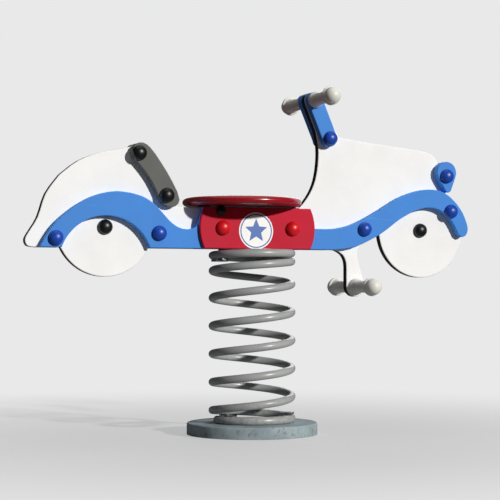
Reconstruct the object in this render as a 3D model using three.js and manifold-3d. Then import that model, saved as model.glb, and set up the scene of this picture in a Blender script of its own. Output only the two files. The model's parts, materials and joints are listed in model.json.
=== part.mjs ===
// Spring rider in the shape of a motor scooter: a coil spring on a round ground plate carries a body
// of 19 mm and 10 mm sheets, a round seat, two hand grips and two foot pegs.
// Millimetres. +X is the way the rider faces, +Y its left, +Z up. The origin is the centre of the
// ground plate's underside, on the spring's axis.
import * as THREE from "three";
import { mergeVertices } from "three/addons/utils/BufferGeometryUtils.js";
import Module from "manifold-3d";

const wasm = await Module();
wasm.setup();

// ---------- driving dimensions ----------

const GAP = 0.3; // between pieces that touch

// ground plate and spring
const BASE_RADIUS = 150;
const BASE_THICKNESS = 27;
const WIRE_RADIUS = 9;
const COIL_RADIUS = 91; // from the spring's axis to the middle of the wire
const COIL_PITCH = 64.5; // rise per turn where the coil is fully open
const COIL_START_DEG = 157.5; // bearing of turn 0, from +X
const COIL_FIRST_TURN = 0.08;
const COIL_LAST_TURN = 7.5;
const OPENING_TURNS = [0.4, 1.05]; // the flat bottom turn opens to the full pitch between these
const CLOSING_TURNS = [5.63, 7.555]; // and the coil closes to a flat top turn between these
// The coil is cut where each of its joints is: fore-and-aft ones on the Y axis, sideways ones on the
// X axis, and the two that shorten the coil in between.
const COIL_CUTS = [1.3125, 2.0625, 2.6875, 3.3125, 4.0625, 4.6875, 5.3125, 6.0625];
const COIL_CUT_WIDTH = 3; // lets the cut ends tilt without meeting

// sheets
const SHEET = 19;
const CENTRE_SHEET = 10; // the red panels
const BODY_BOTTOM = 424;
const BODY_TOP = 518; // of the straight stretch under the seat
const INNER_FACE = SHEET / 2; // the white panel's faces
const SIDE_FACE = INNER_FACE + GAP + SHEET; // outer face of the second sheet
const CENTRE_FACE = SIDE_FACE + GAP + CENTRE_SHEET; // outer face of the third sheet
const WHEEL_RADIUS = 112;
const REAR_WHEEL = [-356, 472];
const FRONT_WHEEL = [435, 472];

// seat
const SEAT_RADIUS = 137;
const SEAT_THICKNESS = 19;
const SEAT_X = -25;
const FLANGE_THICKNESS = 3;

// handle and pegs
const HANDLE_AXIS = [148, 773];
const HANDLE_FOOT = [186, 684]; // centre of the bracket's lower end
const BRACKET_RADIUS = 19;
const PEG_AXIS = [261, 338];
const PEG_POST_RADIUS = 24;
const ROD_RADIUS = 6;
const ROD_IN_GRIP = 76;
const GRIP_LENGTH = 112;

// steel plates hidden between the sheets
const LUG_THICKNESS = 6;
const LUG_ENDS = [-120, 105];
const LUG_TOP = 484;
const HEAD_RADIUS = 78;
const HEAD_THICKNESS = 8;
const BRACKET_ENDS = [-120, 104];
const BRACKET_BOTTOM = 496;

// fasteners
const CAP_RADIUS = 17;
const CAP_HEIGHT = 15;
const SMALL_CAP_RADIUS = 11.5;
const SHANK_RADIUS = 5;
const HOLE_RADIUS = 5.4;

const ROUND_SIDES = 12; // facets round a bolt or a rod
const DISC_SIDES = 48; // facets round the seat and the ground plate

// ---------- materials ----------

const paint = (color, roughness, metalness = 0) =>
  new THREE.MeshStandardMaterial({ color, roughness, metalness });
const MATERIALS = {
  white: paint("#f4f4f2", 0.45),
  blue: paint("#4f8fdd", 0.5),
  red: paint("#c32638", 0.5),
  seatRed: paint("#96202c", 0.45),
  grey: paint("#3c3f3f", 0.6),
  blueCap: paint("#1f479a", 0.25),
  redCap: paint("#b6151f", 0.25),
  blackCap: paint("#151817", 0.25),
  grip: paint("#c9c8bf", 0.4),
  spring: paint("#96989a", 0.4, 0.4),
  base: paint("#65727a", 0.6, 0.3),
  steel: paint("#8d9194", 0.4, 0.8),
};

// ---------- solids ----------

const rider = new THREE.Group();

/** A closed solid from a geometry, with its faces turned out. */
function solid(geometry) {
  geometry.deleteAttribute("normal");
  geometry.deleteAttribute("uv");
  const merged = mergeVertices(geometry, 1e-3);
  const vertProperties = new Float32Array(merged.attributes.position.array);
  const triVerts = new Uint32Array(merged.index.array);
  if (signedVolume(vertProperties, triVerts) < 0) triVerts.reverse();
  return new wasm.Manifold(new wasm.Mesh({ numProp: 3, vertProperties, triVerts }));
}

/** Six times the volume inside a triangle list, negative where its faces point in. */
function signedVolume(points, corners) {
  const [a, b, c] = [new THREE.Vector3(), new THREE.Vector3(), new THREE.Vector3()];
  let sum = 0;
  for (let i = 0; i < corners.length; i += 3) {
    a.fromArray(points, 3 * corners[i]);
    b.fromArray(points, 3 * corners[i + 1]);
    c.fromArray(points, 3 * corners[i + 2]);
    sum += a.dot(b.cross(c));
  }
  return sum;
}

/** Adds one named piece to the rider. */
function addPiece(name, body, material) {
  const { vertProperties, triVerts } = body.getMesh();
  const geometry = new THREE.BufferGeometry();
  geometry.setAttribute("position", new THREE.BufferAttribute(vertProperties, 3));
  geometry.setIndex(new THREE.BufferAttribute(triVerts, 1));
  geometry.computeVertexNormals();
  const mesh = new THREE.Mesh(geometry, MATERIALS[material]);
  mesh.name = name;
  rider.add(mesh);
}

/** A box between two corners. */
function block(low, high) {
  const [x, y, z] = high.map((top, i) => top - low[i]);
  const geometry = new THREE.BoxGeometry(x, y, z);
  geometry.translate(...low.map((bottom, i) => (bottom + high[i]) / 2));
  return solid(geometry);
}

/** A turned piece on an axis along Y, from its profile of [radius, y]. */
function turnedAlongY(profile, [x, z], sides = ROUND_SIDES) {
  const points = profile.map(([radius, y]) => new THREE.Vector2(radius, y));
  const geometry = new THREE.LatheGeometry(points, sides);
  geometry.translate(x, 0, z);
  return solid(geometry);
}

/** A turned piece on an upright axis, from its profile of [radius, z]. */
function turnedUpright(profile, x = 0, sides = DISC_SIDES) {
  const points = profile.map(([radius, z]) => new THREE.Vector2(radius, z));
  const geometry = new THREE.LatheGeometry(points, sides);
  geometry.rotateX(Math.PI / 2);
  geometry.translate(x, 0, 0);
  return solid(geometry);
}

/** A rod along Y through a point of the body's plane. */
function rodAlongY(radius, from, to, at, sides = ROUND_SIDES) {
  return turnedAlongY([[0, from], [radius, from], [radius, to], [0, to]], at, sides);
}

/** A flat sheet with an outline in X and Z, between two distances to the left. */
function sheet(outline, from, to) {
  const shape = new THREE.Shape(outline.map(([x, z]) => new THREE.Vector2(x, z)));
  const geometry = new THREE.ExtrudeGeometry(shape, { depth: to - from, bevelEnabled: false });
  geometry.rotateX(Math.PI / 2);
  geometry.translate(0, to, 0);
  return solid(geometry);
}

// ---------- outlines in X and Z ----------

const radians = THREE.MathUtils.degToRad;

/** Points on an arc round a centre, between two bearings in degrees. */
function arc([x, z], radius, from, to) {
  const steps = Math.max(2, Math.ceil(Math.abs(to - from) / Math.min(20, 500 / radius)));
  return Array.from({ length: steps + 1 }, (_, i) => {
    const angle = radians(from + ((to - from) * i) / steps);
    return [x + radius * Math.cos(angle), z + radius * Math.sin(angle)];
  });
}

/** A smooth curve through a few points. */
function curve(points, perSpan = 3) {
  const spline = new THREE.SplineCurve(points.map(([x, z]) => new THREE.Vector2(x, z)));
  return spline.getPoints((points.length - 1) * perSpan).map(({ x, y }) => [x, y]);
}

/** A smooth closed curve through a few points. */
function loop(points, perSpan = 2) {
  const corners = points.map(([x, z]) => new THREE.Vector3(x, z, 0));
  const spline = new THREE.CatmullRomCurve3(corners, true);
  const outline = spline.getPoints(points.length * perSpan).map(({ x, y }) => [x, y]);
  return outline.slice(0, -1);
}

/** The outline round two circles and the straight sides that touch both. */
function tapered([x1, z1], radius1, [x2, z2], radius2) {
  const length = Math.hypot(x2 - x1, z2 - z1);
  const heading = THREE.MathUtils.radToDeg(Math.atan2(z2 - z1, x2 - x1));
  const side = THREE.MathUtils.radToDeg(Math.acos((radius1 - radius2) / length));
  return [
    ...arc([x1, z1], radius1, heading + side, heading + 360 - side),
    ...arc([x2, z2], radius2, heading - side, heading + side),
  ];
}

/** Drops points that repeat the one before them. */
function tidy(outline) {
  return outline.filter(([x, z], i) => {
    const [px, pz] = outline.at(i - 1);
    return Math.hypot(x - px, z - pz) > 0.5;
  });
}

/** How far round a wheel its disc leaves the body's bottom edge, in degrees below level. */
const wheelDip = THREE.MathUtils.radToDeg(
  Math.asin((REAR_WHEEL[1] - BODY_BOTTOM) / WHEEL_RADIUS),
);

/** The white middle panel. */
function bodyOutline() {
  return tidy([
    [-505, BODY_BOTTOM],
    ...arc(REAR_WHEEL, WHEEL_RADIUS, 180 + wheelDip, 360 - wheelDip),
    [198, BODY_BOTTOM],
    ...curve([[209, 423.5], [227, 413], [236, 395], [PEG_AXIS[0] - PEG_POST_RADIUS, 370]]),
    ...arc(PEG_AXIS, PEG_POST_RADIUS, 180, 375),
    ...curve([[275, 375], [266, 406], [268, 428], [282, 442], [302, 458]]),
    ...arc(FRONT_WHEEL, WHEEL_RADIUS, 183, 360),
    ...curve([[545, 492], [533, 519], [513, 544], [511, 575], [504, 604], [484, 635]]),
    ...curve([[478, 645], [466, 656], [441, 664], [373, 672], [285, 681], [219, 689]]),
    ...arc(HANDLE_AXIS, BRACKET_RADIUS, 25, 205),
    ...curve([[157, 702], [164, 664], [163, 624], [156, 586], [143, 556], [125, 531]]),
    [113, BODY_TOP],
    [-186, BODY_TOP],
    ...curve([[-187, 532], [-204, 572], [-232, 616], [-258, 648]]),
    ...curve([[-272, 657], [-288, 653], [-316, 645], [-367, 635], [-418, 615], [-460, 583]]),
    ...curve([[-460, 583], [-491, 541], [-509, 489], [-530, 455], [-537, 440], [-532, 427], [-518, BODY_BOTTOM]]),
  ]);
}

/** A blue side panel: the two arches and the straight stretch that joins them. */
function sideOutline() {
  return tidy([
    [-509, BODY_BOTTOM],
    ...arc([-358, 386.4], 107.9, 159.6, 20.4),
    [190, BODY_BOTTOM],
    ...curve([[205, 424.5], [253, 432], [305, 455], [336, 474], [368, 497], [405, 517]]),
    ...curve([[405, 517], [430, 525], [452, 527], [474, 523], [494, 512], [513, 492], [529, 463]]),
    ...curve([[529, 463], [539, 458], [550, 463], [555, 476], [552, 492], [541, 517], [524, 539]]),
    ...curve([[524, 539], [503, 557], [479, 568], [446, 571], [410, 565], [365, 548], [322, 523]]),
    ...curve([[322, 523], [278, 499], [235, 481], [192, 473], [150, 472.5]]),
    [140, 473],
    [126, BODY_TOP],
    [-131, BODY_TOP],
    ...curve([[-134, 505], [-143, 480], [-151, 471], [-165, 467], [-180, 468]]),
    ...curve([[-180, 468], [-195, 474], [-211, 486], [-229, 505], [-250, 525], [-275, 539], [-301, 546]]),
    ...curve([[-301, 546], [-334, 549], [-371, 543], [-408, 528], [-446, 503], [-481, 469], [-509, BODY_BOTTOM]]),
  ]);
}

/** A red centre panel: flat above and below, its ends bowed out. */
function centreOutline() {
  const bow = 106;
  const middle = (BODY_BOTTOM + BODY_TOP) / 2;
  const swing = THREE.MathUtils.radToDeg(Math.asin((BODY_TOP - middle) / bow));
  return [
    ...arc([36, middle], bow, -swing, swing),
    ...arc([-36, middle], bow, 180 - swing, 180 + swing),
  ];
}

/** A dark plate beside the backrest. */
function backrestOutline() {
  return loop([
    [-187, 533], [-204, 573], [-232, 617], [-256, 648], [-272, 658.5], [-289, 656],
    [-298, 643], [-295, 626], [-281, 608], [-264, 588], [-247, 561], [-235, 536],
    [-224, 521], [-211, 516], [-195, 519],
  ]);
}

// ---------- ground plate, spring and clamps ----------

/** Height of the middle of the wire after a number of turns. */
function coilHeight(turn) {
  const [open, opened] = OPENING_TURNS;
  const [closing, closed] = CLOSING_TURNS;
  const bottom = BASE_THICKNESS + GAP + WIRE_RADIUS;
  const top = BODY_BOTTOM - GAP - WIRE_RADIUS;
  if (turn < open) return bottom;
  if (turn < opened) return bottom + (COIL_PITCH * (turn - open) ** 2) / (2 * (opened - open));
  if (turn > closed) return top;
  if (turn > closing) return top - (COIL_PITCH * (closed - turn) ** 2) / (2 * (closed - closing));
  // the pitch is eased by a hair so that the two ends' heights agree
  const low = bottom + (COIL_PITCH * (opened - open)) / 2;
  const high = top - (COIL_PITCH * (closed - closing)) / 2;
  return low + ((high - low) * (turn - opened)) / (closing - opened);
}

/** Bearing of a turn in degrees from +X. */
const coilBearing = (turn) => COIL_START_DEG + 360 * turn;

class Coil extends THREE.Curve {
  constructor(from, to) {
    super();
    this.from = from;
    this.to = to;
  }

  getPoint(t, target = new THREE.Vector3()) {
    const turn = this.from + (this.to - this.from) * t;
    const angle = radians(coilBearing(turn));
    return target.set(COIL_RADIUS * Math.cos(angle), COIL_RADIUS * Math.sin(angle), coilHeight(turn));
  }
}

function addSpring() {
  const stepsPerTurn = 18;
  const wireSection = new THREE.Shape().absarc(0, 0, WIRE_RADIUS, 0, 2 * Math.PI);
  const halfCut = COIL_CUT_WIDTH / 2 / (2 * Math.PI * COIL_RADIUS);
  const ends = [COIL_FIRST_TURN - halfCut, ...COIL_CUTS, COIL_LAST_TURN + halfCut];
  for (let i = 0; i + 1 < ends.length; i++) {
    const from = ends[i] + halfCut;
    const to = ends[i + 1] - halfCut;
    const geometry = new THREE.ExtrudeGeometry(wireSection, {
      extrudePath: new Coil(from, to),
      steps: Math.ceil((to - from) * stepsPerTurn),
      curveSegments: 4,
    });
    addPiece(`spring_coil_${i + 1}`, solid(geometry), "spring");
  }
}

/** A claw inside the coil: an upright web with a lip that reaches over or under the wire. */
function claw(bearing, webFrom, webTo, lipFrom, lipTo) {
  const halfWidth = 13;
  const inner = 64;
  const web = block([inner, -halfWidth, webFrom], [HEAD_RADIUS + 0.5, halfWidth, webTo]);
  const lip = block([inner, -halfWidth, lipFrom], [COIL_RADIUS + 5, halfWidth, lipTo]);
  return web.add(lip).rotate([0, 0, bearing]);
}

function addBase() {
  const rim = 3;
  addPiece(
    "base_plate",
    turnedUpright([
      [0, 0],
      [BASE_RADIUS, 0],
      [BASE_RADIUS, BASE_THICKNESS - rim],
      [BASE_RADIUS - rim, BASE_THICKNESS],
      [0, BASE_THICKNESS],
    ]),
    "base",
  );
  const lip = 5;
  const clearance = 0.8;
  const turns = { base_clamp_rear: 0.132, base_clamp_front: 0.465 };
  for (const [name, turn] of Object.entries(turns)) {
    const under = coilHeight(turn) + WIRE_RADIUS + clearance;
    const foot = BASE_THICKNESS + GAP;
    addPiece(name, claw(coilBearing(turn), foot, under + lip, under, under + lip), "steel");
  }
}

function addSpringHead() {
  const top = BODY_BOTTOM - GAP;
  const bottom = top - HEAD_THICKNESS;
  const [rear, front] = LUG_ENDS;
  const neck = 68;
  let head = turnedUpright([[0, bottom], [HEAD_RADIUS, bottom], [HEAD_RADIUS, top], [0, top]], 0, 36);
  for (const [low, high] of lugSides(LUG_THICKNESS)) {
    head = head.add(block([-neck, low, bottom + 1], [neck, high, LUG_TOP - 1]));
    head = head.add(block([rear, low, BODY_BOTTOM + GAP], [front, high, LUG_TOP]));
  }
  addPiece("spring_head", drilled(head, ["centre_rear", "centre_front"]), "steel");

  const lip = 5;
  const clearance = 1.6; // the claws slide along the coil as the rider twists
  const turns = { head_clamp_right: 6.729, head_clamp_rear: 7.0625 };
  for (const [name, turn] of Object.entries(turns)) {
    const over = coilHeight(turn) - WIRE_RADIUS - clearance;
    const web = bottom - GAP;
    addPiece(name, claw(coilBearing(turn), over - lip, web, over - lip, over), "steel");
  }
}

/** Where plates or pockets of one thickness lie, on each side of the white panel. */
function lugSides(thickness) {
  const near = INNER_FACE + GAP;
  return [[near, near + thickness], [-near - thickness, -near]];
}

// ---------- fasteners ----------

/** The through bolts: where each is, how far out its caps sit, and the caps' colour and size. */
const BOLTS = {
  rear_arch_rear: { at: [-473, 444], face: SIDE_FACE, color: "blueCap" },
  rear_arch_front: { at: [-236, 457], face: SIDE_FACE, color: "blueCap" },
  front_arch_rear: { at: [275, 473], face: SIDE_FACE, color: "blueCap" },
  front_arch_front: { at: [507, 519], face: SIDE_FACE, color: "blueCap" },
  centre_rear: { at: [-87, 471], face: CENTRE_FACE, color: "redCap" },
  centre_front: { at: [85, 471], face: CENTRE_FACE, color: "redCap" },
  seat: { at: [-92, 510], face: CENTRE_FACE, color: "blackCap", radius: SMALL_CAP_RADIUS },
  backrest_top: { at: [-283, 635], face: SIDE_FACE, color: "blackCap" },
  backrest_bottom: { at: [-218, 542], face: SIDE_FACE, color: "blackCap" },
  handle: { at: HANDLE_FOOT, face: SIDE_FACE, color: "blueCap" },
  headlight: { at: [496, 604], face: SIDE_FACE, color: "blueCap" },
  rear_wheel: { at: [-356, 470], face: INNER_FACE, color: "blackCap" },
  front_wheel: { at: [433, 473], face: INNER_FACE, color: "blackCap" },
};

/** Cuts the holes of the named bolts through a solid. */
function drilled(body, names) {
  const reach = CENTRE_FACE + 5;
  return names.reduce(
    (rest, name) => rest.subtract(rodAlongY(HOLE_RADIUS, -reach, reach, BOLTS[name].at)),
    body,
  );
}

/** Profile of a domed cap, from its tip on the axis to its rim, standing out along Y from a face. */
function capProfile(face, radius, outward) {
  const flank = 3;
  const dome = (CAP_HEIGHT - flank) * (radius / CAP_RADIUS);
  const rings = [90, 60, 30, 0].map((degrees) => {
    const angle = radians(degrees);
    return [radius * Math.cos(angle), outward * (face + flank + dome * Math.sin(angle))];
  });
  rings[0][0] = 0;
  return [...rings, [radius, outward * face]];
}

function addFasteners() {
  const shankEnd = 9; // how far the shank and its nut's bore reach into the nut's cap
  for (const [name, { at, face, color, radius = CAP_RADIUS }] of Object.entries(BOLTS)) {
    const seatAt = face + GAP;
    const bolt = [
      ...capProfile(seatAt, radius, -1),
      [SHANK_RADIUS, -seatAt],
      [SHANK_RADIUS, seatAt + shankEnd - 1],
      [0, seatAt + shankEnd - 1],
    ];
    const nut = [
      ...capProfile(seatAt, radius, 1),
      [HOLE_RADIUS, seatAt],
      [HOLE_RADIUS, seatAt + shankEnd],
      [0, seatAt + shankEnd],
    ];
    addPiece(`${name}_bolt`, turnedAlongY(bolt, at), color);
    addPiece(`${name}_nut`, turnedAlongY(nut, at), color);
  }
}

// ---------- body ----------

/** Adds a sheet and its mirror image on the other side of the rider. */
function addPair(name, make, material) {
  const left = make();
  addPiece(`${name}_left`, left, material);
  addPiece(`${name}_right`, left.mirror([0, 1, 0]), material);
}

/** Cuts the hole of a rod along Y. */
function rodHole(body, at) {
  const reach = CENTRE_FACE + 5;
  return body.subtract(rodAlongY(ROD_RADIUS + 0.4, -reach, reach, at));
}

function addBody() {
  const second = [INNER_FACE + GAP, SIDE_FACE];
  const third = [SIDE_FACE + GAP, CENTRE_FACE];
  let panel = drilled(sheet(bodyOutline(), -INNER_FACE, INNER_FACE), Object.keys(BOLTS));
  panel = rodHole(rodHole(panel, HANDLE_AXIS), PEG_AXIS);
  addPiece("body_panel", panel, "white");

  const arches = ["rear_arch_rear", "rear_arch_front", "front_arch_rear", "front_arch_front"];
  const middle = ["centre_rear", "centre_front", "seat"];
  addPair("side_panel", () => {
    const pocket = [INNER_FACE, INNER_FACE + GAP + LUG_THICKNESS + GAP];
    const [rear, front] = LUG_ENDS;
    const lugPocket = block(
      [rear - GAP, pocket[0], BODY_BOTTOM - 1],
      [front + GAP, pocket[1], LUG_TOP + GAP],
    );
    const bracketPocket = block(
      [BRACKET_ENDS[0] - GAP, pocket[0], BRACKET_BOTTOM - GAP],
      [BRACKET_ENDS[1] + GAP, pocket[1], BODY_TOP + 1],
    );
    const panelSide = drilled(sheet(sideOutline(), ...second), [...arches, ...middle]);
    return panelSide.subtract(lugPocket).subtract(bracketPocket);
  }, "blue");
  addPair("centre_panel", () => drilled(sheet(centreOutline(), ...third), middle), "red");
  addPair("backrest_plate", () => {
    return drilled(sheet(backrestOutline(), ...second), ["backrest_top", "backrest_bottom"]);
  }, "grey");
  addPair("handle_bracket", () => {
    const outline = tidy(tapered(HANDLE_AXIS, BRACKET_RADIUS, HANDLE_FOOT, BRACKET_RADIUS));
    return rodHole(drilled(sheet(outline, ...second), ["handle"]), HANDLE_AXIS);
  }, "blue");
  addPair("headlight", () => {
    const outline = tidy(tapered([497, 613], 26.5, [501, 574], 9));
    return drilled(sheet(outline, ...second), ["headlight"]);
  }, "blue");
}

function addSeat() {
  const underside = BODY_TOP + GAP + FLANGE_THICKNESS + GAP;
  const rim = [[8, 0], [2, 3], [0, 7.5], [0, 11.5], [3, 16.5], [9, SEAT_THICKNESS]];
  const rounded = rim.map(([inset, z]) => [SEAT_RADIUS - inset, z]);
  const profile = [[0, 0], ...rounded, [0, SEAT_THICKNESS]];
  const raised = profile.map(([radius, z]) => [radius, z + underside]);
  addPiece("seat", turnedUpright(raised, SEAT_X), "seatRed");

  const halfWidth = 38;
  const [rear, front] = BRACKET_ENDS;
  const low = BODY_TOP + GAP;
  let bracket = block([rear, -halfWidth, low], [front, halfWidth, low + FLANGE_THICKNESS]);
  for (const [from, to] of lugSides(LUG_THICKNESS)) {
    bracket = bracket.add(block([rear, from, BRACKET_BOTTOM], [front, to, low + 1]));
  }
  addPiece("seat_bracket", drilled(bracket, ["seat"]), "steel");
}

// ---------- handle and pegs ----------

/** Profile of a grip, from the bottom of its bore, round its outside, to its tip. */
function gripProfile() {
  const bore = ROD_RADIUS + 0.4;
  const ballRadius = 19;
  const ball = GRIP_LENGTH - ballRadius;
  const dome = [0, 30, 60, 90].map((degrees) => {
    const angle = radians(degrees);
    return [ballRadius * Math.cos(angle), ball + ballRadius * Math.sin(angle)];
  });
  dome.at(-1)[0] = 0;
  return [
    [0, ROD_IN_GRIP + 2],
    [bore, ROD_IN_GRIP + 2],
    [bore, 0],
    [19, 0],
    [20, 3],
    [19, 8],
    [15, 14],
    [14, 28],
    [14.5, 68],
    [17, 78],
    [22, 82],
    [22, 87],
    [17.5, 91],
    ...dome,
  ];
}

function addHandles() {
  const places = [
    { rod: "handle_rod", grip: "hand_grip", at: HANDLE_AXIS, face: SIDE_FACE },
    { rod: "peg_rod", grip: "foot_peg", at: PEG_AXIS, face: INNER_FACE },
  ];
  for (const { rod, grip, at, face } of places) {
    const rodEnd = face + ROD_IN_GRIP;
    addPiece(rod, rodAlongY(ROD_RADIUS, -rodEnd, rodEnd, at), "steel");
    addPair(grip, () => {
      const profile = gripProfile().map(([radius, y]) => [radius, y + face + GAP]);
      return turnedAlongY(profile, at, 16);
    }, "grip");
  }
}

addBase();
addSpring();
addSpringHead();
addBody();
addSeat();
addHandles();
addFasteners();

export default rider;
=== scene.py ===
import json
import math

import bmesh
import bpy
from bpy.props import FloatProperty, FloatVectorProperty, IntProperty, PointerProperty
from mathutils import Matrix, Vector


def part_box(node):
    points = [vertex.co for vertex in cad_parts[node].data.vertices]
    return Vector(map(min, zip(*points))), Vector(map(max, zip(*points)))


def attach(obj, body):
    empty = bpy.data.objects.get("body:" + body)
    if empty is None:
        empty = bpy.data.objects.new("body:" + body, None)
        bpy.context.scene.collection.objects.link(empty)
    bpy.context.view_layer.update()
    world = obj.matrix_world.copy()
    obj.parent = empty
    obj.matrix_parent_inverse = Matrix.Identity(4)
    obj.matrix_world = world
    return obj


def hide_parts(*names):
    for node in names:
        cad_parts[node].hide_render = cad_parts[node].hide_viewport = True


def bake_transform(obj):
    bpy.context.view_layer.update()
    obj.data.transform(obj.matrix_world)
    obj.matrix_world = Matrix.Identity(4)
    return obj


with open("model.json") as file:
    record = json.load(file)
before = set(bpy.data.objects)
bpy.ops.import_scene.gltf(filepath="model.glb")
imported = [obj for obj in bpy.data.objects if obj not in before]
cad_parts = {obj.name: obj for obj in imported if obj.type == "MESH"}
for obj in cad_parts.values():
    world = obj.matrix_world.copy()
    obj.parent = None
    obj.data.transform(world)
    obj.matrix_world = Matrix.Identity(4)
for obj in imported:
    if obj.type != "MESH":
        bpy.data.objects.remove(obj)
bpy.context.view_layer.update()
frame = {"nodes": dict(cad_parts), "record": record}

bl_info = {
    "name": "Scooter spring rider",
    "version": (1, 0, 0),
    "blender": (4, 5, 0),
    "location": "3D View > Sidebar > Rider",
    "description": "Finishes a playground spring rider, shaped like a motor scooter, round its frame",
    "category": "Object",
}

MM = 0.001
RECORD = frame["record"]
SLOT_OF = {part["node"]: part["material_slot"] for part in RECORD["subparts"]}
BODY_OF = {node: body for body, nodes in RECORD["behaviour"]["bodies"].items() for node in nodes}

SIDES = ("left", "right")
SHEETS = ["body_panel"] + [
    f"{name}_{side}"
    for name in ("side_panel", "centre_panel", "backrest_plate", "handle_bracket", "headlight")
    for side in SIDES
]
STEEL_PLATES = [
    "spring_head", "seat_bracket",
    "head_clamp_right", "head_clamp_rear", "base_clamp_rear", "base_clamp_front",
]
RODS = ["handle_rod", "peg_rod"]
GRIPS = [f"{name}_{side}" for name in ("hand_grip", "foot_peg") for side in SIDES]
BOLTS = sorted(node for node in frame["nodes"] if node.endswith("_bolt"))
NUTS = sorted(node for node in frame["nodes"] if node.endswith("_nut"))

# Where the coil is hinged or slides, in turns from its start: each cut of the frame's wire.
COIL_JOINTS = [1.3125, 2.0625, 2.6875, 3.3125, 4.0625, 4.6875, 5.3125, 6.0625]
COIL_BODIES = ["ground"] + [f"coil_{i}" for i in range(2, 10)]

FLAT_NORMAL = 0.9999  # a face whose normal lies closer to the Y axis than this is a sheet's flat face


def linear(code):
    """Linear red, green, blue and alpha of an sRGB hex colour."""
    channels = [int(code[i:i + 2], 16) / 255 for i in (1, 3, 5)]
    turned = [c / 12.92 if c <= 0.04045 else ((c + 0.055) / 1.055) ** 2.4 for c in channels]
    return (*turned, 1.0)


def colour(name, description, code):
    """A colour setting with a hex default."""
    return FloatVectorProperty(
        name=name, description=description, subtype="COLOR", size=4, min=0, max=1, default=linear(code)
    )


def length(name, description, millimetres):
    """A length setting, in metres, with its default in millimetres."""
    return FloatProperty(
        name=name, description=description, default=millimetres * MM, unit="LENGTH", subtype="DISTANCE"
    )


def angle(name, description, degrees):
    """An angle setting, in radians, with its default in degrees."""
    return FloatProperty(
        name=name, description=description, default=math.radians(degrees), unit="ROTATION", subtype="ANGLE"
    )


def number(name, description, default):
    """A plain number, such as a share, a count of turns or a light's strength."""
    return FloatProperty(name=name, description=description, default=default)


def count(name, description, default):
    """A whole number of facets or steps."""
    return IntProperty(name=name, description=description, default=default, min=1)


def point(name, description, default):
    """A point in metres."""
    return FloatVectorProperty(name=name, description=description, default=default, subtype="XYZ")


# ---------- settings ----------


class SheetSettings(bpy.types.PropertyGroup):
    edge_radius: length("Edge radius", "Round-over that the router leaves along a sheet's edges", 2.3)
    round_steps: count("Round steps", "Facets across a rounded edge", 4)
    hole_margin: length("Hole margin", "Edges nearer than this to a bolt's axis belong to its hole", 7)
    grain: length("Grain", "Pebble size of the embossed faces, coarse enough to show", 3.2)
    skin: length("Skin", "Depth of the white skin over the body panel's black core", 1.5)
    core: colour("Core", "Black core of the body panel, bare on its cut edges", "#1d1e1c")
    white: colour("White", "Middle sheet", "#fafafa")
    blue: colour("Blue", "Arches, handle brackets and headlights", "#4788d8")
    red: colour("Red", "Centre panels", "#bd1d35")
    seat_red: colour("Seat red", "Round seat", "#94101d")
    grey: colour("Charcoal", "Plates beside the backrest", "#616260")


class SpringSettings(bpy.types.PropertyGroup):
    wire_radius: length("Wire radius", "Half of the wire's thickness", 9)
    coil_radius: length("Coil radius", "From the spring's axis to the middle of the wire", 91)
    pitch: length("Pitch", "Rise per turn of the open coil", 64.5)
    gap: length("Gap", "Between the end turns and what they lie against", 0.3)
    start: angle("Start", "Bearing of turn 0 from +X", 157.5)
    first_turn: number("First turn", "Where the wire starts", 0.08)
    last_turn: number("Last turn", "Where the wire ends", 7.5)
    first_seam: number("First seam", "Turn where the length that stays still ends", 1.0)
    last_seam: number("Last seam", "How many turns past the last joint the top length starts", 0.3125)
    open_from: number("Opens from", "Turn where the flat foot ends", 0.4)
    open_to: number("Opens to", "Turn where the pitch is full", 1.05)
    close_from: number("Closes from", "Turn where the pitch drops", 5.63)
    close_to: number("Closes to", "Turn where the top lies flat", 7.555)
    bend_reach: length("Bend reach", "How far each side of a joint the wire shares its bending", 60)
    steps_per_turn: count("Steps per turn", "Rings of the wire per turn", 96)
    wire_sides: count("Wire sides", "Facets round the wire", 28)
    paint: colour("Paint", "Powder coat of the spring", "#a9abab")


class GroundSettings(bpy.types.PropertyGroup):
    rim_round: length("Rim round", "Rounding of the plate's upper rim", 4)
    foot_round: length("Foot round", "Rounding of the plate's lower rim", 1)
    paint: colour("Paint", "Paint of the ground plate", "#97a6ac")


class SteelSettings(bpy.types.PropertyGroup):
    deburr: length("Deburring", "Rounding of the steel plates' edges", 0.8)
    zinc: colour("Zinc", "Hot-dip zinc on the brackets, clamps and rods", "#9a9ea1")


class CapSettings(bpy.types.PropertyGroup):
    height: length("Height", "How far a cap stands out", 15)
    small_height: length("Small height", "How far a small bolt's cap stands out", 11.1)
    small_radius: length("Small radius", "Caps up to this radius are small ones", 14)
    flank: length("Flank", "Height of the straight foot of a cap", 3)
    groove: length("Groove", "Depth of the parting groove above the foot", 0.7)
    shank_radius: length("Shank radius", "Half of a bolt's thickness", 5)
    bore_radius: length("Bore radius", "Half of the hole in a nut", 5.4)
    bore_depth: length("Bore depth", "How deep the hole in a nut is", 9)
    blue: colour("Blue", "Caps on the blue sheets", "#123f9c")
    red: colour("Red", "Caps on the centre panels", "#c20d18")
    black: colour("Black", "Caps on the wheels, the backrest and the seat bracket", "#0c0e0e")


class GripSettings(bpy.types.PropertyGroup):
    bore_depth: length("Bore depth", "How far the rod's bore reaches into a grip", 78)
    bore_radius: length("Bore radius", "Half of the bore for the rod", 6.4)
    ball_radius: length("Ball radius", "Radius of the ball at the end", 19)
    ball_from: length("Ball start", "Where the ball leaves the collar", 92.5)
    plastic: colour("Plastic", "Pale moulded plastic", "#eae9e2")


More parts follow.
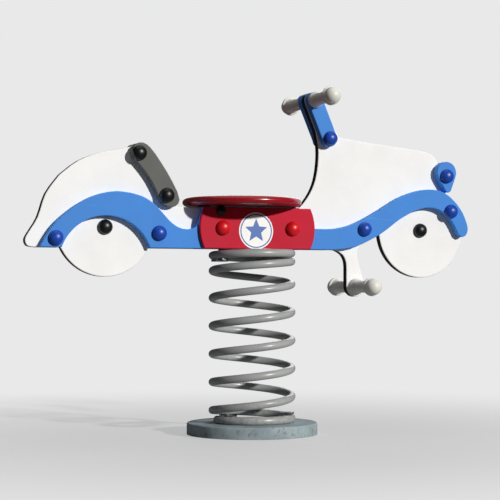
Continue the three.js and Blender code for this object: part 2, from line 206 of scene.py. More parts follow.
class BadgeSettings(bpy.types.PropertyGroup):
    radius: length("Radius", "Radius of the round sticker", 42)
    thickness: length("Thickness", "Thickness of the sticker", 0.4)
    ink: length("Ink", "Thickness of the printed ring and star", 0.15)
    along: length("Along", "How far behind the spring's axis its middle is", 6)
    height: length("Height", "Height of its middle above the panel's lower edge", 41)
    film: colour("Film", "White vinyl", "#f7f7f5")
    print: colour("Print", "Printed ring and star", "#2f63b4")


class StageSettings(bpy.types.PropertyGroup):
    azimuth: angle("Azimuth", "Where the camera stands round the rider", -22.5)
    distance: length("Distance", "From the spring's axis to the camera", 3600)
    height: length("Height", "Camera height", 335)
    tilt: angle("Tilt", "How far the camera looks up", 1.39)
    turn: angle("Turn", "How far it looks left of the axis", 0.073)
    lens: number("Lens", "Focal length in millimetres", 112.5)
    key_place: point("Key place", "Where the key light shines from", (1.55, -3.45, 1.69))
    key_strength: number("Key strength", "Strength of the key light, in watts per square metre", 3.12)
    key_softness: angle("Key softness", "How wide the key light looks from the rider", 3)
    overhead_place: point("Overhead place", "Where the light overhead hangs", (0, 0, 3.2))
    overhead_strength: number("Overhead strength", "Power of the light overhead, in watts", 22)
    overhead_size: length("Overhead size", "Width of the light overhead", 3000)
    back_place: point("Back place", "Where the light behind the rider stands", (2.2, 3.4, 2.2))
    back_strength: number("Back strength", "Power of the light behind, in watts", 34)
    back_size: length("Back size", "Width of the light behind", 2400)
    ambient: number("Ambient", "Share of the backdrop's brightness that lights the rider", 0.06)
    backdrop: colour("Backdrop", "Pale surroundings", "#e9e9ea")
    floor_radius: length("Floor radius", "From the spring's axis to the floor's edge", 60000)
    floor_dark: colour("Floor, dark", "Darker patches of the floor", "#d2d2d2")
    floor_pale: colour("Floor, pale", "Paler patches of the floor", "#d6d6d6")


GROUPS = {
    "rider_sheets": SheetSettings,
    "rider_spring": SpringSettings,
    "rider_ground": GroundSettings,
    "rider_steel": SteelSettings,
    "rider_caps": CapSettings,
    "rider_grips": GripSettings,
    "rider_badge": BadgeSettings,
    "rider_stage": StageSettings,
}


# ---------- shaders ----------


def feed(tree, node, inputs):
    """Fills a node's inputs with values or other nodes' outputs."""
    for socket, value in inputs.items():
        if isinstance(value, bpy.types.NodeSocket):
            tree.links.new(value, node.inputs[socket])
        else:
            node.inputs[socket].default_value = value


def add_node(tree, kind, inputs=None, **settings):
    """Adds a shader node with its settings and its inputs."""
    node = tree.nodes.new(f"ShaderNode{kind}")
    for name, value in settings.items():
        setattr(node, name, value)
    feed(tree, node, inputs or {})
    return node


def new_material(name):
    """An empty material: its node tree, principled shader and output of object coordinates."""
    material = bpy.data.materials.new(name)
    material.use_nodes = True
    tree = material.node_tree
    tree.nodes.clear()
    shader = add_node(tree, "BsdfPrincipled")
    add_node(tree, "OutputMaterial", {"Surface": shader.outputs["BSDF"]})
    return material, tree, shader, add_node(tree, "TexCoord").outputs["Object"]


def noise(tree, place, size, detail, roughness=0.5):
    """Noise whose patches are about a size in metres."""
    inputs = {"Vector": place, "Scale": 1 / size, "Detail": detail, "Roughness": roughness}
    return add_node(tree, "TexNoise", inputs).outputs["Fac"]


def streaks(tree, place, scale, turn, detail):
    """Noise drawn out into lines: its scale along each axis, after a turn in radians."""
    lines = add_node(tree, "Mapping", {"Vector": place, "Scale": scale, "Rotation": turn}).outputs["Vector"]
    return add_node(tree, "TexNoise", {"Vector": lines, "Scale": 1.0, "Detail": detail}).outputs["Fac"]


def remap(tree, value, source, target, **settings):
    """A value carried from one range to another and held at its ends."""
    ends = {"From Min": source[0], "From Max": source[1], "To Min": target[0], "To Max": target[1]}
    return add_node(tree, "MapRange", {"Value": value, **ends}, **settings).outputs["Result"]


def mix(tree, factor, first, second):
    """The first colour where the factor is 0, the second where it is 1."""
    colours = {"Factor": factor, "A": first, "B": second}
    return add_node(tree, "Mix", colours, data_type="RGBA").outputs["Result"]


def bump(tree, height, strength, depth, **inputs):
    """The surface's normal, tilted by a height that swings over a depth in metres."""
    relief = {"Height": height, "Strength": strength, "Distance": depth}
    return add_node(tree, "Bump", {**relief, **inputs}).outputs["Normal"]


def scaled(rgba, factor):
    """A colour made lighter or darker."""
    return (*[min(1.0, channel * factor) for channel in rgba[:3]], 1.0)


def routed_polyethylene(name, base, fade, grain, core=None):
    """High-density polyethylene sheet, dyed through, its faces embossed and its edges routed.

    The embossing breaks the light into a soft, waxy sheen, the routed edges are smoother and show the
    cutter's passes, and years of hands and weather leave faint cloudy fading, dust and scuffs. A core,
    given as its colour and its half thickness, shows black wherever the cutter went through the skins."""
    material, tree, shader, place = new_material(name)
    worn = scaled(base, fade)
    fading = noise(tree, place, 90 * MM, 5.0, roughness=0.6)
    faded = mix(tree, remap(tree, fading, (0.35, 0.7), (0.0, 1.0)), base, worn)
    # scuffs: long thin streaks where shoes and bags brush along the body
    scuff = streaks(tree, place, (9.0, 60.0, 240.0), (0.0, 0.35, 0.0), 3.0)
    scuffed = mix(tree, remap(tree, scuff, (0.66, 0.72), (0.0, 0.3)), faded, scaled(worn, 1.5))
    # the routed edge is painted paler than the faces, in patches: partly rubbed wear, partly a painted
    # highlight along the rounded edge
    worn_and_highlit_edge = add_node(tree, "Attribute", attribute_name="worn_and_highlit_edge").outputs["Fac"]
    patchy_wear_and_highlight = add_node(tree, "Math", {0: worn_and_highlit_edge, 1: fading}, operation="MULTIPLY").outputs["Value"]
    surface = mix(tree, patchy_wear_and_highlight, scuffed, scaled(worn, 1.3))
    if core:
        shade, half = core
        across = add_node(tree, "SeparateXYZ", {"Vector": place}).outputs["Y"]
        off_middle = add_node(tree, "Math", {0: across}, operation="ABSOLUTE").outputs["Value"]
        within = remap(tree, off_middle, (half - 0.2 * MM, half + 0.2 * MM), (1.0, 0.0))
        dusty = mix(tree, fading, shade, scaled(shade, 2.2))
        surface = mix(tree, within, surface, dusty)
    emboss = bump(tree, noise(tree, place, grain, 2.0), 0.35, 0.25 * MM)
    # the router leaves its passes as fine lines round the edge, 4 mm apart
    passes = add_node(tree, "TexWave", {"Vector": place, "Scale": 1 / (12.6 * MM), "Distortion": 0.6},
                      bands_direction="Y").outputs["Fac"]
    feed(tree, shader, {
        "Base Color": surface,
        "Roughness": remap(tree, fading, (0.3, 0.7), (0.55, 0.68)),
        "Normal": bump(tree, passes, 0.12, 0.1 * MM, Normal=emboss),
        "IOR": 1.54,
        "Specular IOR Level": 0.12,
    })
    return material


def polished_polyethylene(name, base, fade):
    """The seat's polyethylene: smooth-turned and rubbed bright by its riders, with a tight highlight."""
    material, tree, shader, place = new_material(name)
    fading = noise(tree, place, 70 * MM, 5.0, roughness=0.6)
    # fine scratches run slantwise across the seat
    scratch = streaks(tree, place, (700.0, 60.0, 700.0), (0.0, 0.0, 0.6), 2.0)
    feed(tree, shader, {
        "Base Color": mix(tree, fading, base, scaled(base, fade)),
        "Roughness": remap(tree, scratch, (0.3, 0.75), (0.2, 0.34)),
        "Normal": bump(tree, scratch, 0.06, 0.1 * MM),
        "IOR": 1.54,
    })
    return material


def moulded_polyamide(name, base):
    """Injection-moulded polyamide cap: hard and glossy, with a tight highlight and hairline scratches."""
    material, tree, shader, place = new_material(name)
    haze = noise(tree, place, 14 * MM, 4.0)
    hairline = streaks(tree, place, (900.0, 900.0, 90.0), (0.0, 0.8, 0.4), 2.0)
    feed(tree, shader, {
        "Base Color": mix(tree, haze, base, scaled(base, 1.5)),
        "Roughness": remap(tree, hairline, (0.3, 0.75), (0.3, 0.42)),
        "Normal": bump(tree, haze, 0.08, 0.3 * MM),
        "IOR": 1.53,
        "Specular IOR Level": 0.4,
    })
    return material


def moulded_grip_plastic(name, base):
    """Moulded polypropylene grip: pale and satin, greyed by hands and shoes, with a fine pebbled skin."""
    material, tree, shader, place = new_material(name)
    grime = noise(tree, place, 22 * MM, 6.0, roughness=0.65)
    handled = remap(tree, grime, (0.45, 0.75), (0.0, 0.4))
    feed(tree, shader, {
        "Base Color": mix(tree, handled, base, scaled(base, 0.7)),
        "Roughness": remap(tree, grime, (0.3, 0.7), (0.3, 0.48)),
        "Normal": bump(tree, noise(tree, place, 2.2 * MM, 2.0), 0.2, 0.15 * MM),
        "IOR": 1.49,
    })
    return material


def powder_coated_steel(name, base):
    """Polyester powder coat, sprayed dry and baked: satin-bright with the ripple called orange peel.

    Dust and splashed soil cling to the lowest turn, and the coat is a little duller where it's weathered."""
    material, tree, shader, place = new_material(name)
    weather = noise(tree, place, 45 * MM, 6.0)
    coat = mix(tree, remap(tree, weather, (0.35, 0.7), (0.0, 0.6)), base, scaled(base, 0.8))
    # splashes thin out within 90 mm of the ground plate
    height = add_node(tree, "SeparateXYZ", {"Vector": place}).outputs["Z"]
    low = remap(tree, height, (0.03, 0.12), (0.4, 0.0))
    spots = remap(tree, noise(tree, place, 7 * MM, 4.0), (0.48, 0.62), (0.0, 1.0))
    soiled = add_node(tree, "Math", {0: low, 1: spots}, operation="MULTIPLY").outputs["Value"]
    feed(tree, shader, {
        "Base Color": mix(tree, soiled, coat, linear("#6f675a")),
        "Roughness": remap(tree, weather, (0.3, 0.7), (0.24, 0.4)),
        "Normal": bump(tree, noise(tree, place, 4 * MM, 1.0), 0.16, 0.3 * MM),
        "IOR": 1.52,
    })
    return material


def weathered_paint(name, base):
    """Brushed-on enamel on a thick steel plate: dull, chalky and streaked, rusting a little at its rim."""
    material, tree, shader, place = new_material(name)
    chalk = noise(tree, place, 60 * MM, 7.0, roughness=0.65)
    bleached = remap(tree, chalk, (0.38, 0.66), (0.0, 0.8))
    paint = mix(tree, bleached, scaled(base, 0.8), scaled(base, 1.25))
    # rust creeps in from the rim
    parts = add_node(tree, "SeparateXYZ", {"Vector": place}).outputs
    flat = add_node(tree, "CombineXYZ", {"X": parts["X"], "Y": parts["Y"]}).outputs["Vector"]
    reach = add_node(tree, "VectorMath", {0: flat}, operation="LENGTH").outputs["Value"]
    outer = remap(tree, reach, (0.12, 0.15), (0.0, 0.16))
    flakes = noise(tree, place, 11 * MM, 8.0, roughness=0.7)
    eaten = add_node(tree, "Math", {0: flakes, 1: outer}, operation="ADD").outputs["Value"]
    rusty = remap(tree, eaten, (0.72, 0.78), (0.0, 0.5))
    feed(tree, shader, {
        "Base Color": mix(tree, rusty, paint, linear("#6b5546")),
        "Roughness": remap(tree, eaten, (0.4, 0.7), (0.66, 0.9)),
        "Normal": bump(tree, flakes, 0.4, 0.5 * MM),
        "Specular IOR Level": 0.25,
    })
    return material


def hot_dip_zinc(name, base):
    """Steel dipped in molten zinc: matt grey metal whose crystals, the spangle, differ a little in tone."""
    material, tree, shader, place = new_material(name)
    spangle = add_node(tree, "TexVoronoi", {"Vector": place, "Scale": 1 / (9 * MM)}).outputs["Color"]
    tone = add_node(tree, "RGBToBW", {"Color": spangle}).outputs["Val"]
    feed(tree, shader, {
        "Base Color": mix(tree, tone, scaled(base, 0.7), scaled(base, 1.15)),
        "Roughness": remap(tree, tone, (0.0, 1.0), (0.38, 0.58)),
        "Normal": bump(tree, noise(tree, place, 6 * MM, 3.0), 0.2, 0.3 * MM),
        "Metallic": 1.0,
    })
    return material


def printed_vinyl(name, base):
    """Screen-printed vinyl film: smooth with a soft sheen, a little yellowed and crazed by the sun."""
    material, tree, shader, place = new_material(name)
    aged = remap(tree, noise(tree, place, 18 * MM, 6.0), (0.4, 0.75), (0.0, 0.35))
    crazing = add_node(tree, "TexVoronoi", {"Vector": place, "Scale": 1 / (5 * MM)},
                       feature="DISTANCE_TO_EDGE").outputs["Distance"]
    feed(tree, shader, {
        "Base Color": mix(tree, aged, base, scaled(base, 0.8)),
        "Normal": bump(tree, crazing, 0.05, 0.2 * MM),
        "Roughness": 0.42,
    })
    return material


def material_for(slot):
    """The finish of one of the record's material slots, made once."""
    name = f"finish_{slot}"
    made = bpy.data.materials.get(name)
    if made:
        return made
    scene = bpy.context.scene
    sheets, caps = scene.rider_sheets, scene.rider_caps
    core = (tuple(sheets.core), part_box("body_panel")[1].y - sheets.skin)
    finishes = {
        "white_sheet": (routed_polyethylene, sheets.white, 0.94, sheets.grain, core),
        "blue_sheet": (routed_polyethylene, sheets.blue, 1.12, sheets.grain),
        "red_sheet": (routed_polyethylene, sheets.red, 1.15, sheets.grain),
        "grey_sheet": (routed_polyethylene, sheets.grey, 1.25, sheets.grain),
        "seat_sheet": (polished_polyethylene, sheets.seat_red, 1.2),
        "blue_cap": (moulded_polyamide, caps.blue),
        "red_cap": (moulded_polyamide, caps.red),
        "black_cap": (moulded_polyamide, caps.black),
        "grip_plastic": (moulded_grip_plastic, scene.rider_grips.plastic),
        "spring_paint": (powder_coated_steel, scene.rider_spring.paint),
        "ground_plate_paint": (weathered_paint, scene.rider_ground.paint),
        "zinc_steel": (hot_dip_zinc, scene.rider_steel.zinc),
    }
    finish, base, *rest = finishes[slot]
    return finish(name, tuple(base), *rest)


# ---------- meshes ----------


def make_object(name, bm, sharp_angle=math.radians(35)):
    """Puts a finished bmesh into the scene as a smooth object at the origin."""
    bmesh.ops.recalc_face_normals(bm, faces=bm.faces)
    for face in bm.faces:
        face.smooth = True
    mesh = bpy.data.meshes.new(name)
    bm.to_mesh(mesh)
    bm.free()
    mesh.set_sharp_from_angle(angle=sharp_angle)
    piece = bpy.data.objects.new(name, mesh)
    bpy.context.scene.collection.objects.link(piece)
    return piece


def flatten_shading(piece):
    """Weights a piece's normals by face area, and shades its outer faces flat beside their rounded edges."""
    weighted = piece.modifiers.new("Flat faces", "WEIGHTED_NORMAL")
    weighted.keep_sharp = True
    weighted.weight = 100
    for face in piece.data.polygons:
        face.use_smooth = abs(face.normal.y) < FLAT_NORMAL


def dress(piece, node):
    """Gives a piece the finish, slot and body of the CAD node that it stands for."""
    slot = SLOT_OF[node]
    piece.data.materials.append(material_for(slot))
    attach(piece, BODY_OF[node])
    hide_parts(node)


def copied(node):
    """A bmesh of a CAD node with its triangles joined into whole faces."""
    bm = bmesh.new()
    bm.from_mesh(frame["nodes"][node].data)
    bmesh.ops.remove_doubles(bm, verts=bm.verts, dist=0.01 * MM)
    bmesh.ops.dissolve_limit(bm, angle_limit=math.radians(0.5), verts=bm.verts, edges=bm.edges)
    return bm


def turned(profile, rounds, place, axis="Y", steps=64):
    """A bmesh turned round an axis through a point, from its profile of radius and distance along the axis.

    rounds gives, for each group of profile corners to be rounded, how far along the profile the
    rounding starts and which corners they are."""
    bm = bmesh.new()
    corners = [bm.verts.new((radius, 0, along)) for radius, along in profile]
    for start, end in zip(corners, corners[1:]):
        bm.edges.new((start, end))
    for offset, chosen in rounds:
        bmesh.ops.bevel(bm, geom=[corners[i] for i in chosen], offset=offset, offset_type="OFFSET",
                        segments=5, profile=0.5, affect="VERTICES", material=-1)
    bmesh.ops.spin(bm, geom=bm.verts[:] + bm.edges[:], cent=(0, 0, 0), axis=(0, 0, 1),
                   angle=2 * math.pi, steps=steps, use_merge=True)
    bmesh.ops.remove_doubles(bm, verts=bm.verts, dist=0.005 * MM)
    if axis == "Y":
        bmesh.ops.rotate(bm, verts=bm.verts, matrix=Matrix.Rotation(math.radians(-90), 3, "X"))
    bmesh.ops.translate(bm, verts=bm.verts, vec=place)
    return bm


def middle(node):
    """The middle of a CAD node's box."""
    low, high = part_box(node)
    return (low + high) / 2


# ---------- operators ----------


class RIDER_OT_sheets(bpy.types.Operator):
    """Cut the polyethylene sheets with routed, rounded edges"""

    bl_idname = "rider.sheets"
    bl_label = "Sheets"

    def execute(self, context):
        settings = context.scene.rider_sheets
        holes = [middle(node) for node in BOLTS + RODS]
        for node in SHEETS:
            bm = copied(node)
            low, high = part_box(node)
            worn_and_highlit_edge = bm.verts.layers.float.new("worn_and_highlit_edge")
            rims = [edge for edge in bm.edges
                    if self.is_rim(edge, low.y, high.y, holes, settings.hole_margin)]
            if not rims:
                raise RuntimeError(f"{node} has no rim to round")
            rounded = bmesh.ops.bevel(
                bm, geom=rims, offset=settings.edge_radius, offset_type="OFFSET",
                segments=settings.round_steps, profile=0.5, affect="EDGES", clamp_overlap=False, material=-1,
            )
            # marks the rounded strip that the finish paints paler: partly wear, partly a painted highlight
            # along the edge
            for vert in rounded["verts"]:
                inside = low.y + 0.1 * MM < vert.co.y < high.y - 0.1 * MM
                vert[worn_and_highlit_edge] = 1.0 if inside else 0.0
            piece = make_object(f"{node}_routed", bm)
            flatten_shading(piece)
            dress(piece, node)
        return {"FINISHED"}

    @staticmethod
    def is_rim(edge, near, far, holes, margin):
        """Whether an edge lies between a sheet's flat face and its outline, and not round a hole."""
        if len(edge.link_faces) != 2:
            return False
        on_face = any(all(abs(vert.co.y - side) < 0.05 * MM for vert in edge.verts) for side in (near, far))
        at = edge.verts[0].co
        in_hole = any(math.hypot(at.x - hole.x, at.z - hole.z) < margin for hole in holes)
        return on_face and not in_hole and edge.calc_face_angle() > math.radians(60)


class RIDER_OT_seat(bpy.types.Operator):
    """Turn the round seat with its full rounded rim"""

    bl_idname = "rider.seat"
    bl_label = "Seat"

    def execute(self, context):
        low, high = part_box("seat")
        radius = (high.x - low.x) / 2
        thickness = high.z - low.z
        profile = [(0, 0), (radius - 7 * MM, 0), (radius, 4.5 * MM), (radius, 14 * MM),
                   (radius - 9 * MM, thickness), (0, thickness)]
        rounds = [(4.4 * MM, (1, 2)), (4.9 * MM, (3, 4))]
        bm = turned(profile, rounds, Vector((middle("seat").x, middle("seat").y, low.z)), axis="Z", steps=128)
        piece = make_object("seat_turned", bm)
        dress(piece, "seat")
        return {"FINISHED"}


class RIDER_OT_steel(bpy.types.Operator):
    """Deburr the galvanised plates and clamps, and give the rods their zinc"""

    bl_idname = "rider.steel"
    bl_label = "Brackets, clamps and rods"

    def execute(self, context):
        deburr = context.scene.rider_steel.deburr
        for node in STEEL_PLATES:
            bm = copied(node)
            corners = [edge for edge in bm.edges
                       if len(edge.link_faces) == 2 and edge.calc_face_angle() > math.radians(40)]
            bmesh.ops.bevel(bm, geom=corners, offset=deburr, offset_type="OFFSET", segments=2, profile=0.5,
                            affect="EDGES", clamp_overlap=True, material=-1)
            piece = make_object(f"{node}_deburred", bm)
            flatten_shading(piece)
            dress(piece, node)
        for node in RODS:
            rod = frame["nodes"][node]
            rod.data.materials.clear()
            rod.data.materials.append(material_for(SLOT_OF[node]))
        return {"FINISHED"}


class RIDER_OT_ground_plate(bpy.types.Operator):
    """Turn the round ground plate"""

    bl_idname = "rider.ground_plate"
    bl_label = "Ground plate"

    def execute(self, context):
        low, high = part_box("base_plate")
        radius = high.x
        ground = context.scene.rider_ground
        profile = [(0, 0), (radius, 0), (radius, high.z), (0, high.z)]
        rounds = [(ground.rim_round, (2,)), (ground.foot_round, (1,))]
        bm = turned(profile, rounds, Vector((0, 0, low.z)), axis="Z", steps=144)
        piece = make_object("base_plate_turned", bm)
        dress(piece, "base_plate")
        return {"FINISHED"}


class RIDER_OT_spring(bpy.types.Operator):
    """Wind the powder-coated spring, with a length round each of the coil's joints"""

    bl_idname = "rider.spring"
    bl_label = "Spring"

    def execute(self, context):
        spring = context.scene.rider_spring
        seams = [spring.first_seam]
        seams += [(a + b) / 2 for a, b in zip(COIL_JOINTS, COIL_JOINTS[1:])]
        seams += [COIL_JOINTS[-1] + spring.last_seam]
        foot = self.wind("spring_foot", spring, spring.first_turn, seams[0])
        self.finish(foot)
        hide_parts("spring_coil_1")
        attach(foot, "ground")
        for i, joint in enumerate(COIL_JOINTS):
            piece = self.wind(f"spring_bend_{i + 1}", spring, seams[i], seams[i + 1])
            self.finish(piece)
            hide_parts(f"spring_coil_{i + 2}")
            bearing = spring.start + 2 * math.pi * joint
            cut = Vector((math.cos(bearing), math.sin(bearing), 0)) * spring.coil_radius
            cut.z = self.height(spring, joint)
            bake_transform(piece)
        head = self.wind("spring_crown", spring, seams[-1], spring.last_turn)
        self.finish(head)
        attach(head, COIL_BODIES[-1])
        return {"FINISHED"}

    @staticmethod
    def finish(piece):
        """Paints a length of wire."""
        piece.data.materials.append(material_for("spring_paint"))

    @staticmethod
    def height(spring, turn):
        """Height of the middle of the wire: flat at both ends, opening and closing smoothly."""
        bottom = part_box("base_plate")[1].z + spring.gap + spring.wire_radius
        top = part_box("centre_panel_left")[0].z - spring.gap - spring.wire_radius
        opening = spring.open_to - spring.open_from
        closing = spring.close_to - spring.close_from
        if turn < spring.open_from:
            return bottom
        if turn < spring.open_to:
            return bottom + spring.pitch * (turn - spring.open_from) ** 2 / (2 * opening)
        if turn > spring.close_to:
            return top
        if turn > spring.close_from:
            return top - spring.pitch * (spring.close_to - turn) ** 2 / (2 * closing)
        low = bottom + spring.pitch * opening / 2
        high = top - spring.pitch * closing / 2
        return low + (high - low) * (turn - spring.open_to) / (spring.close_from - spring.open_to)

    @classmethod
    def wind(cls, name, spring, first, last):
        """A closed length of wire between two turns of the coil."""
        bm = bmesh.new()
        bmesh.ops.create_circle(bm, cap_ends=True, radius=spring.wire_radius, segments=spring.wire_sides)
        bmesh.ops.rotate(bm, verts=bm.verts, matrix=Matrix.Rotation(math.radians(90), 3, "X"))
        bmesh.ops.translate(bm, verts=bm.verts, vec=(spring.coil_radius, 0, cls.height(spring, first)))
        bmesh.ops.rotate(bm, verts=bm.verts,
                         matrix=Matrix.Rotation(spring.start + 2 * math.pi * first, 3, "Z"))
        steps = round((last - first) * spring.steps_per_turn)
        step = (last - first) / steps
        ring = bm.faces[:] + bm.edges[:] + bm.verts[:]
        for i in range(steps):
            rise = cls.height(spring, first + (i + 1) * step) - cls.height(spring, first + i * step)
            ring = bmesh.ops.spin(bm, geom=ring, cent=(0, 0, 0), axis=(0, 0, 1), dvec=(0, 0, rise),
                                  angle=2 * math.pi * step, steps=1)["geom_last"]
        return make_object(name, bm, sharp_angle=math.radians(50))


class RIDER_OT_fasteners(bpy.types.Operator):
    """Turn the domed bolts and nuts"""

    bl_idname = "rider.fasteners"
    bl_label = "Bolts and nuts"

    def execute(self, context):
        caps = context.scene.rider_caps
        for node in BOLTS + NUTS:
            low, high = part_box(node)
            radius = (high.x - low.x) / 2
            whole = high.y - low.y
            if node in NUTS:
                profile = self.cap(caps, radius, whole)
                profile += [(caps.bore_radius, 0), (caps.bore_radius, caps.bore_depth), (0, caps.bore_depth)]
                seat = low.y
            else:
                height = caps.height if radius > caps.small_radius else caps.small_height
                shank = whole - height
                profile = self.cap(caps, radius, height)
                profile += [(caps.shank_radius, 0), (caps.shank_radius, -shank), (0, -shank)]
                seat = low.y + height
            bm = turned(profile, [], Vector((0, 0, 0)), steps=48)
            if node in BOLTS:
                bmesh.ops.rotate(bm, verts=bm.verts, matrix=Matrix.Rotation(math.pi, 3, "Z"))
            bmesh.ops.translate(bm, verts=bm.verts, vec=(middle(node).x, seat, middle(node).z))
            piece = make_object(f"{node}_turned", bm)
            dress(piece, node)
        return {"FINISHED"}

    @staticmethod
    def cap(caps, radius, height):
        """Profile of a domed cap from its tip to its foot, with the parting groove above the foot."""
        flank, groove = caps.flank, caps.groove
        rings = 12
        dome = [((radius - groove / 2) * math.sin(math.pi / 2 * i / rings),
                 flank + (height - flank) * math.cos(math.pi / 2 * i / rings)) for i in range(rings + 1)]
        dome[0] = (0, height)
        return dome + [(radius - groove, flank - 0.3 * groove), (radius - 0.2 * groove, flank - groove),
                       (radius, flank - 1.8 * groove), (radius, 0)]


class RIDER_OT_grips(bpy.types.Operator):
    """Turn the hand grips and the foot pegs"""

    bl_idname = "rider.grips"
    bl_label = "Grips and pegs"

    def execute(self, context):
        grips = context.scene.rider_grips
        for node in GRIPS:
            low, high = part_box(node)
            rounds = [(3.0 * MM, (4, 7)), (1.2 * MM, (3, 8, 9))]
            bm = turned(self.profile(grips, high.y - low.y), rounds, Vector((0, 0, 0)))
            root = low.y
            if node.endswith("right"):
                bmesh.ops.rotate(bm, verts=bm.verts, matrix=Matrix.Rotation(math.pi, 3, "Z"))
                root = high.y
            bmesh.ops.translate(bm, verts=bm.verts, vec=(middle(node).x, root, middle(node).z))
            piece = make_object(f"{node}_moulded", bm)
            dress(piece, node)
        return {"FINISHED"}

    @staticmethod
    def profile(grips, whole):
        """Profile from the bore's bottom, round the foot, the waist and the collar, to the ball's tip."""
        ball = grips.ball_radius
        foot = [(19, 0), (19.7, 6), (14.6, 14)]
        waist = [(14, 28), (14.5, 70), (17.5, 79)]
        collar = [(22, 81.5), (22, 87), (17.8, 91)]
        outside = [(radius * MM, along * MM) for radius, along in foot + waist + collar]
        rings = 12
        centre = whole - ball
        first = math.degrees(math.asin((grips.ball_from - centre) / ball))
        dome = []
        for i in range(rings + 1):
            rise = math.radians(first + (90 - first) * i / rings)
            dome.append((ball * math.cos(rise), centre + ball * math.sin(rise)))
        dome[-1] = (0, whole)
        bore = [(0, grips.bore_depth), (grips.bore_radius, grips.bore_depth), (grips.bore_radius, 0)]
        return bore + outside + dome


class RIDER_OT_badge(bpy.types.Operator):
    """Stick the plain round badge on both centre panels"""

    bl_idname = "rider.badge"
    bl_label = "Badges"

    def execute(self, context):
        badge = context.scene.rider_badge
        film = printed_vinyl("printed_vinyl_white", tuple(badge.film))
        ink = printed_vinyl("printed_vinyl_blue", tuple(badge.print))
        for side, outward in (("left", 1), ("right", -1)):
            panel_low, panel_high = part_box(f"centre_panel_{side}")
            face = panel_high.y if outward > 0 else panel_low.y
            at = Vector((-badge.along, face, panel_low.z + badge.height))
            disc = self.disc(f"badge_film_{side}", badge, at, outward)
            self.finish(disc, film, "white_sheet")
            face_at = at + Vector((0, outward * badge.thickness, 0))
            ring = self.ring(f"badge_ring_{side}", badge, face_at, outward)
            self.finish(ring, ink, "blue_sheet")
            star = self.star(f"badge_star_{side}", badge, face_at, outward)
            self.finish(star, ink, "blue_sheet")
        return {"FINISHED"}

    @staticmethod
    def finish(piece, material, slot):
        piece.data.materials.append(material)
        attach(piece, "rider")

    @staticmethod
    def raise_from(bm, thickness, at, outward):
        """Stands a flat shape up against a panel and gives it its thickness, away from the panel."""
        bmesh.ops.rotate(bm, verts=bm.verts, matrix=Matrix.Rotation(math.radians(90), 3, "X"))
        grown = bmesh.ops.extrude_face_region(bm, geom=bm.faces[:])
        moved = [item for item in grown["geom"] if isinstance(item, bmesh.types.BMVert)]
        bmesh.ops.translate(bm, verts=moved, vec=(0, outward * thickness, 0))
        bmesh.ops.translate(bm, verts=bm.verts, vec=at)

    @classmethod
    def disc(cls, name, badge, at, outward):
        """The sticker's round film."""
        bm = bmesh.new()
        bmesh.ops.create_circle(bm, cap_ends=True, radius=badge.radius, segments=96)
        cls.raise_from(bm, badge.thickness, at, outward)
        return make_object(name, bm)

    @classmethod
    def ring(cls, name, badge, at, outward):
        """The printed ring, close inside the film's edge."""
        bm = bmesh.new()
        for share in (0.93, 0.86):
            bmesh.ops.create_circle(bm, cap_ends=False, radius=badge.radius * share, segments=96)
        bmesh.ops.bridge_loops(bm, edges=bm.edges[:])
        cls.raise_from(bm, badge.ink, at, outward)
        return make_object(name, bm)

    @classmethod
    def star(cls, name, badge, at, outward):
        """The printed star: a circle of ten corners with every second one drawn in."""
        bm = bmesh.new()
        bmesh.ops.create_circle(bm, cap_ends=True, radius=badge.radius * 0.68, segments=10)
        bm.verts.ensure_lookup_table()
        bmesh.ops.scale(bm, verts=bm.verts[:][1::2], vec=(0.45, 0.45, 1))
        cls.raise_from(bm, badge.ink, at, outward)
        return make_object(name, bm)


def ambient(tree, stage):
    """Brightness of the surroundings: full where they are seen, and less where they only give light."""
    seen = add_node(tree, "LightPath").outputs["Is Camera Ray"]
    return remap(tree, seen, (0.0, 1.0), (stage.ambient, 1.0))


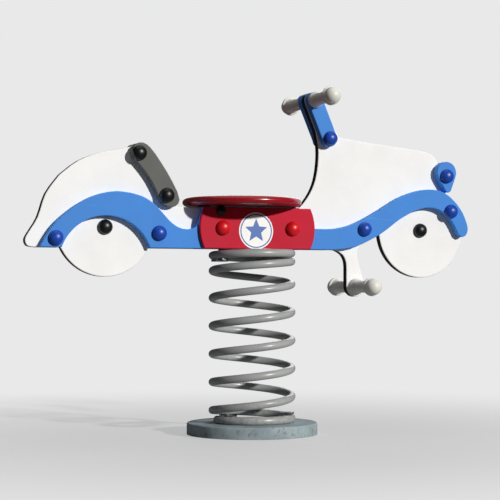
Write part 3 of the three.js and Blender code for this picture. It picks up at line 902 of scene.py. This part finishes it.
class RIDER_OT_stage(bpy.types.Operator):
    """Lay the pale floor and set the soft lights and the camera"""

    bl_idname = "rider.stage"
    bl_label = "Stage"

    def execute(self, context):
        stage = context.scene.rider_stage
        self.surroundings(context.scene, stage)
        self.floor(stage)
        self.light("key_light", "SUN", stage.key_place, "#fffdf9", energy=stage.key_strength,
                   angle=stage.key_softness)
        self.light("overhead_light", "AREA", stage.overhead_place, "#f6faff", energy=stage.overhead_strength,
                   shape="DISK", size=stage.overhead_size)
        self.light("back_light", "AREA", stage.back_place, "#ffffff", energy=stage.back_strength,
                   shape="DISK", size=stage.back_size)
        self.camera(context.scene, stage)
        return {"FINISHED"}

    @staticmethod
    def surroundings(scene, stage):
        world = bpy.data.worlds.new("pale_surroundings")
        scene.world = world
        world.use_nodes = True
        background = world.node_tree.nodes["Background"]
        background.inputs["Color"].default_value = tuple(stage.backdrop)
        world.node_tree.links.new(ambient(world.node_tree, stage), background.inputs["Strength"])
        scene.view_settings.view_transform = "Standard"

    @staticmethod
    def floor(stage):
        """A wide pale floor that fades into the surroundings, so that it shows no horizon."""
        bm = bmesh.new()
        bmesh.ops.create_circle(bm, cap_ends=True, radius=stage.floor_radius, segments=96)
        bmesh.ops.translate(bm, verts=bm.verts, vec=(0, 0, -0.2 * MM))
        floor = make_object("floor", bm)
        material, tree, shader, place = new_material("pale_matt_floor")
        mottle = noise(tree, place, 500 * MM, 4.0)
        feed(tree, shader, {
            "Base Color": mix(tree, mottle, tuple(stage.floor_dark), tuple(stage.floor_pale)),
            "Roughness": 0.9,
        })
        # the floor glows, and more and more further out, till it can't be told from the backdrop
        glow = add_node(tree, "Emission", {"Color": tuple(stage.backdrop), "Strength": ambient(tree, stage)})
        reach = add_node(tree, "VectorMath", {0: place}, operation="LENGTH").outputs["Value"]
        far = remap(tree, reach, (0.3, 1.7), (0.48, 1.0), interpolation_type="SMOOTHSTEP")
        blend = add_node(tree, "MixShader", {0: far, 1: shader.outputs["BSDF"], 2: glow.outputs["Emission"]})
        output = next(node for node in tree.nodes if node.type == "OUTPUT_MATERIAL")
        tree.links.new(blend.outputs["Shader"], output.inputs["Surface"])
        floor.data.materials.append(material)

    @staticmethod
    def light(name, kind, place, code, **settings):
        """Adds a light that shines from a place towards the rider's middle."""
        lamp = bpy.data.lights.new(name, kind)
        lamp.color = linear(code)[:3]
        for setting, value in settings.items():
            setattr(lamp, setting, value)
        stand = bpy.data.objects.new(name, lamp)
        stand.location = place
        aim = Vector((0, 0, 0.45)) - stand.location
        stand.rotation_euler = aim.to_track_quat("-Z", "Y").to_euler()
        bpy.context.scene.collection.objects.link(stand)

    @staticmethod
    def camera(scene, stage):
        data = bpy.data.cameras.new("camera")
        data.lens = stage.lens
        data.sensor_width = 36
        camera = bpy.data.objects.new("camera", data)
        bearing = Vector((math.sin(stage.azimuth), -math.cos(stage.azimuth), 0))
        camera.location = bearing * stage.distance + Vector((0, 0, stage.height))
        camera.rotation_euler = (math.radians(90) + stage.tilt, 0, stage.azimuth + stage.turn)
        scene.collection.objects.link(camera)
        scene.camera = camera


class RIDER_PT_panel(bpy.types.Panel):
    """The rider's pieces, in the order in which they are made"""

    bl_idname = "RIDER_PT_panel"
    bl_label = "Spring rider"
    bl_space_type = "VIEW_3D"
    bl_region_type = "UI"
    bl_category = "Rider"

    def draw(self, context):
        for operator in OPERATORS:
            self.layout.operator(operator.bl_idname)
        for name in GROUPS:
            box = self.layout.box()
            for setting in GROUPS[name].__annotations__:
                box.prop(getattr(context.scene, name), setting)


OPERATORS = [
    RIDER_OT_sheets, RIDER_OT_seat, RIDER_OT_steel, RIDER_OT_ground_plate, RIDER_OT_spring,
    RIDER_OT_fasteners, RIDER_OT_grips, RIDER_OT_badge, RIDER_OT_stage,
]


def register():
    for cls in [*GROUPS.values(), *OPERATORS, RIDER_PT_panel]:
        bpy.utils.register_class(cls)
    for name, group in GROUPS.items():
        setattr(bpy.types.Scene, name, PointerProperty(type=group))


def unregister():
    for name in GROUPS:
        delattr(bpy.types.Scene, name)
    for cls in reversed([*GROUPS.values(), *OPERATORS, RIDER_PT_panel]):
        bpy.utils.unregister_class(cls)


def main():
    register()
    bpy.ops.rider.sheets()
    bpy.ops.rider.seat()
    bpy.ops.rider.steel()
    bpy.ops.rider.ground_plate()
    bpy.ops.rider.spring()
    bpy.ops.rider.fasteners()
    bpy.ops.rider.grips()
    bpy.ops.rider.badge()
    bpy.ops.rider.stage()


if __name__ == "__main__":
    main()
